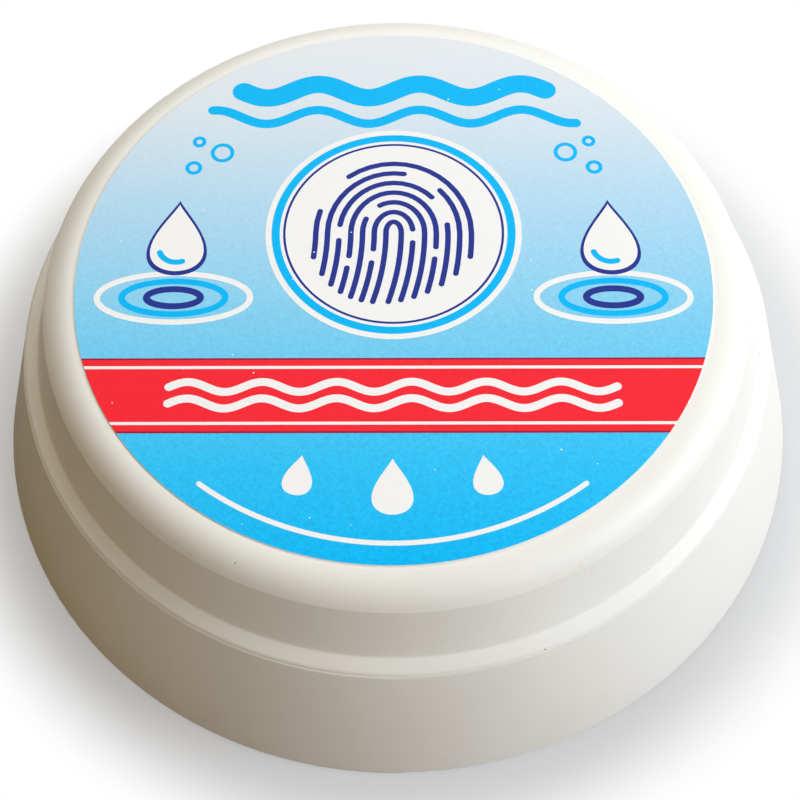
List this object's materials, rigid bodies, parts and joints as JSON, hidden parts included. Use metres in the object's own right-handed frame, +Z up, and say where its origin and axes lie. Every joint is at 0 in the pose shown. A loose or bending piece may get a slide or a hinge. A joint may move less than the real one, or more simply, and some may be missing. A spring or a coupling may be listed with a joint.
{
  "type": "finger moistener",
  "caption": "Low round flared pot of moistening gel for fingertips, closed by a screw lid with a foam seal and a round printed label on top.",
  "frame": {"origin": "middle of the foot, on the surface that the pot stands on", "axes": "+Z up along the pot's axis, -Y towards the viewer of the picture, +X to the right"},
  "size_m": [0.0822, 0.0822, 0.0244],
  "materials": {
    "ivory_plastic": "satin moulded",
    "cup_plastic": "satin moulded",
    "gel": "wet, slightly translucent",
    "foam": "closed-cell foam skin",
    "label_print": "printed, semi-gloss"
  },
  "bodies": {
    "base": {"base_shell": "ivory_plastic", "gel_cup": "cup_plastic", "gel": "gel"},
    "liner": {"lid_liner": "foam"},
    "lid": {"lid": "ivory_plastic", "label": "label_print"}
  },
  "joints": [
    {"name": "lid_lift", "type": "slide", "parent": "base", "child": "liner", "axis": [0, 0, 1], "range_m": [0, 0.024]},
    {"name": "lid_turn", "type": "hinge", "parent": "liner", "child": "lid", "pos_m": [0, 0, 0.0155], "axis": [0, 0, 1], "range_deg": [0, 720]}
  ],
  "couplings": [
    {"joint": "lid_lift", "follows": "lid_turn", "m_per_rad": 0.0019099}
  ]
}
